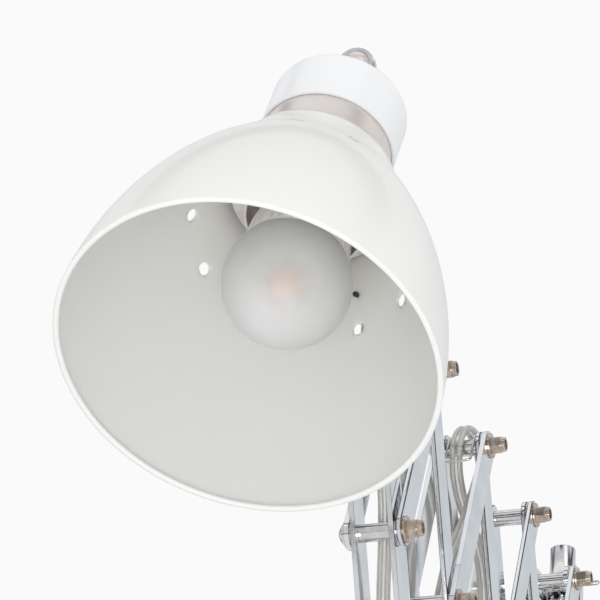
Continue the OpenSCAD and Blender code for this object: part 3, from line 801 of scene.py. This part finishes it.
def make_tie(material):
    """A plastic tie drawn round the top of the coil, with its small lock."""
    centre = COIL_CENTRE + Vector((0, 0, COIL_R))
    half_y, half_z = FLEX_W + 0.0008, 1.5 * FLEX_T + 0.0012
    corner, width, thick = 0.0024, 0.0034, 0.0011
    lock_size, lock_place = (0.0054, 0.006, 0.0042), (0, -0.002, half_z + 0.0022)
    line = []
    for sy, sz, start in ((1, 1, 0), (-1, 1, 90), (-1, -1, 180), (1, -1, 270)):
        for step in range(7):
            a = math.radians(start + step * 15)
            y = sy * (half_y - corner) + corner * math.cos(a)
            z = sz * (half_z - corner) + corner * math.sin(a)
            line.append(centre + Vector((0, y, z)))

    def out_and_across(p):
        return Vector((0, p.y - centre.y, p.z - centre.z)).normalized(), Vector((1, 0, 0))

    bm = bmesh.new()
    band(bm, line, width, thick, out_and_across)
    lock = bmesh.ops.create_cube(bm, size=1)
    place = Matrix.Translation(centre + Vector(lock_place)) @ Matrix.Diagonal((*lock_size, 1))
    bmesh.ops.transform(bm, matrix=place, verts=lock["verts"])
    piece = link_mesh("coil_tie", bm, material, smooth=False)
    edge = piece.modifiers.new("edge", "BEVEL")
    edge.width = 0.0004
    edge.segments = 2
    return piece


def revolve(bm, matrix, outline, steps=32):
    """A closed ring of material from an outline of (radius, height) points."""
    rings = []
    for i in range(steps):
        a = 2 * math.pi * i / steps
        rings.append([
            bm.verts.new(matrix @ Vector((r * math.cos(a), r * math.sin(a), h))) for r, h in outline
        ])
    count = len(outline)
    for i, ring in enumerate(rings):
        after = rings[(i + 1) % steps]
        for k in range(count):
            n = (k + 1) % count
            bm.faces.new((ring[k], ring[n], after[n], after[k]))


def make_ribs(material):
    """Moulded ribs on the strain relief above the plug."""
    relief_top, relief_h = Vector((0.010, -0.009, -0.222)), 0.026
    thin_r, thick_r = 0.0042, 0.0056
    first, spacing, proud, sunk = 0.002, 0.0042, 0.0007, 0.0006
    bm = bmesh.new()
    for k in range(6):
        z = first + k * spacing
        r = thin_r + (thick_r - thin_r) * z / relief_h
        outline = [(r - sunk, 0.0009), (r + proud, 0.0006), (r + proud, -0.0006), (r - sunk, -0.0009)]
        revolve(bm, Matrix.Translation(relief_top - Vector((0, 0, z))), outline)
    return link_mesh("plug_relief_ribs", bm, material)


def make_clip(material):
    """Bent wire hung on the distance tube of top pivot 2; the arch of the flex goes through it."""
    centre = top(2)
    arm_x, wire, sides = 0.0066, 0.00065, 10
    line = [
        (-arm_x, 0.0016, 0.0052), (-arm_x, -0.0030, 0.0050), (-arm_x, -0.0066, -0.0030),
        (-arm_x, -0.0084, -0.0090),
    ]
    line += [(-arm_x + 0.0016, -0.0088, -0.0108), (0, -0.0088, -0.0112)]
    line += [(-x, y, z) for x, y, z in line[-2::-1]]
    path = smooth_line([centre + Vector(p) for p in line], 3)
    bm = bmesh.new()
    rings = []
    for i, point in enumerate(path):
        run = (path[min(i + 1, len(path) - 1)] - path[max(i - 1, 0)]).normalized()
        a = run.orthogonal().normalized() if i == 0 else (a - run * a.dot(run)).normalized()
        b = run.cross(a)
        rings.append([
            bm.verts.new(point + wire * (a * math.cos(turn) + b * math.sin(turn)))
            for turn in [2 * math.pi * k / sides for k in range(sides)]
        ])
    for ring, after in zip(rings, rings[1:]):
        for k in range(sides):
            n = (k + 1) % sides
            bm.faces.new((ring[k], ring[n], after[n], after[k]))
    bm.faces.new(rings[0][::-1])
    bm.faces.new(rings[-1])
    piece = link_mesh("flex_clip", bm, material)
    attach(piece, "bars_b2")


# ---------------------------------------------------------------- small pieces on the head
def make_shade_screw(material):
    """Small dark screw in the shoulder of the shade, seen inside it."""
    turn = math.radians(-90 - 196)
    height, radius = 0.1035, 0.0491
    bell_r, bell_low = 0.2032, 0.008
    slope = math.asin((height + bell_low) / bell_r)
    place = (
        HEAD @ Matrix.Translation((0, 0, RIM_Z)) @ Matrix.Rotation(turn, 4, "Z")
        @ Matrix.Translation((radius, 0, height)) @ Matrix.Rotation(math.pi / 2 - slope, 4, "Y")
    )
    pin, stem, head = 0.00001, 0.0009, 0.0013
    outline = [
        (pin, 0.0012), (stem, 0.0012), (stem, -0.0017), (head, -0.0017), (0.0012, -0.0024),
        (stem, -0.0031), (pin, -0.0031),
    ]
    bm = bmesh.new()
    revolve(bm, place, outline, 20)
    piece = link_mesh("shade_screw", bm, material)
    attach(piece, "lamp_head")


# ---------------------------------------------------------------- finishing CAD pieces
SAME_PLACE = 0.000002
FLAT_ANGLE = math.radians(0.4)
HARD_ANGLE = math.radians(35)


def finish_node(name, material, edge):
    """Gives a CAD piece its material, smooth normals and, where it has hard edges, a fine radius."""
    node = frame["nodes"][name]
    mesh = node.data
    mesh.materials.clear()
    mesh.materials.append(material)
    if "custom_normal" in mesh.attributes:
        mesh.attributes.remove(mesh.attributes["custom_normal"])
    for polygon in mesh.polygons:
        polygon.use_smooth = True
    weld = node.modifiers.new("weld", "WELD")
    weld.merge_threshold = SAME_PLACE
    flat = node.modifiers.new("flat", "DECIMATE")
    flat.decimate_type = "DISSOLVE"
    flat.angle_limit = FLAT_ANGLE
    if edge:
        bevel = node.modifiers.new("edge", "BEVEL")
        bevel.width = edge
        bevel.segments = 2
        bevel.limit_method = "ANGLE"
        bevel.angle_limit = HARD_ANGLE
    normals = node.modifiers.new("normals", "WEIGHTED_NORMAL")
    normals.keep_sharp = True


def plate_washers(name, material):
    """The washers in a node of nuts get a second, brighter material. A washer is thin along the pivot."""
    thickest, reach, slack = 0.0015, 0.0075, 0.000001
    mesh = frame["nodes"][name].data
    mesh.materials.append(material)
    bm = bmesh.new()
    bm.from_mesh(mesh)
    bmesh.ops.remove_doubles(bm, verts=bm.verts, dist=SAME_PLACE)
    washers = []
    seen = set()
    for seed in bm.verts:
        if seed in seen:
            continue
        island, queue = [], [seed]
        seen.add(seed)
        while queue:
            vert = queue.pop()
            island.append(vert.co.copy())
            for edge in vert.link_edges:
                other = edge.other_vert(vert)
                if other not in seen:
                    seen.add(other)
                    queue.append(other)
        low_x, high_x = min(c.x for c in island), max(c.x for c in island)
        if high_x - low_x < thickest:
            washers.append((low_x - slack, high_x + slack, sum(island, Vector()) / len(island)))
    bm.free()
    for polygon in mesh.polygons:
        c = polygon.center
        for low_x, high_x, mid in washers:
            if low_x <= c.x <= high_x and (c - mid).length < reach:
                polygon.material_index = 1


def darken_edges(name, material):
    """The bevelled corners of a bar get a second material, painted dark as a painted reflection along its
    edges.
    """
    node = frame["nodes"][name]
    node.data.materials.append(material)
    node.modifiers["edge"].material = 1


make_camera()
make_view()
make_world()
make_floor()
area_light("key", (1.5, -1.4, 1.2), BALL, 1.4, 3, (1, 0.985, 0.96))
area_light("under", (0.35, -1.75, -1.05), HEAD @ Vector((0, 0, -0.15)), 1.1, 12.5, (0.985, 1, 0.99))

steel = plated_steel()
small_steel = turned_steel()
# the neck ring and the ball stud get a painted warm reflection
neck_warm_reflection_paint = neck_painted_warm_reflection()
nickel = warm_nickel()
enamel = white_enamel("white_enamel", (0.815, 0.815, 0.79))
cap_enamel = white_enamel("cap_enamel", (0.85, 0.86, 0.865))
opal = opal_glass()
ceramic = bulb_ceramic()
holder = holder_metal()
dark = dark_moulding()
black = black_oxide()
plastic = white_moulding()
flex_skin = flex_cover()

looks = {}
for name in frame["nodes"]:
    if name.startswith("bar_"):
        looks[name] = (steel, 0.0005)
    elif name.startswith(("bolts_", "tubes_", "post_bolt", "post_tube")):
        looks[name] = (small_steel, 0.0002)
    elif name.startswith(("nuts_", "post_nut")):
        looks[name] = (nickel, 0.0003)
looks.update(
    wall_plate=(steel, 0.0005), wall_lugs=(steel, 0.0006), post=(small_steel, 0),
    top_block=(steel, 0.0004), block_screw=(black, 0.0002), cross_pin=(small_steel, 0),
    slider=(steel, 0.0004), head_block=(steel, 0.0005), stem=(small_steel, 0.0002),
    ball_cup=(small_steel, 0.0003), ball_stud=(neck_warm_reflection_paint, 0.0003), cap=(cap_enamel, 0.0003),
    neck_ring=(neck_warm_reflection_paint, 0.0001), collar=(enamel, 0.0003), shade=(enamel, 0),
    holder_ring=(holder, 0.0003), lamp_socket=(dark, 0.0004), bulb_neck=(ceramic, 0),
    bulb_globe=(opal, 0), flex_grip=(plastic, 0.0006), plug=(plastic, 0.0008),
)
for name, (material, edge) in looks.items():
    finish_node(name, material, edge)
# painted dark reflections on the bevelled edges of every bar
edge_reflection_paint = painted_edge_reflection()
for name in frame["nodes"]:
    if name.startswith(("nuts_", "post_nut")):
        plate_washers(name, small_steel)
    elif name.startswith("bar_"):
        darken_edges(name, edge_reflection_paint)

make_arm_flex(clear_jacket(), core_strands())
make_cord(flex_skin, plastic)
make_clip(small_steel)
make_shade_screw(black)
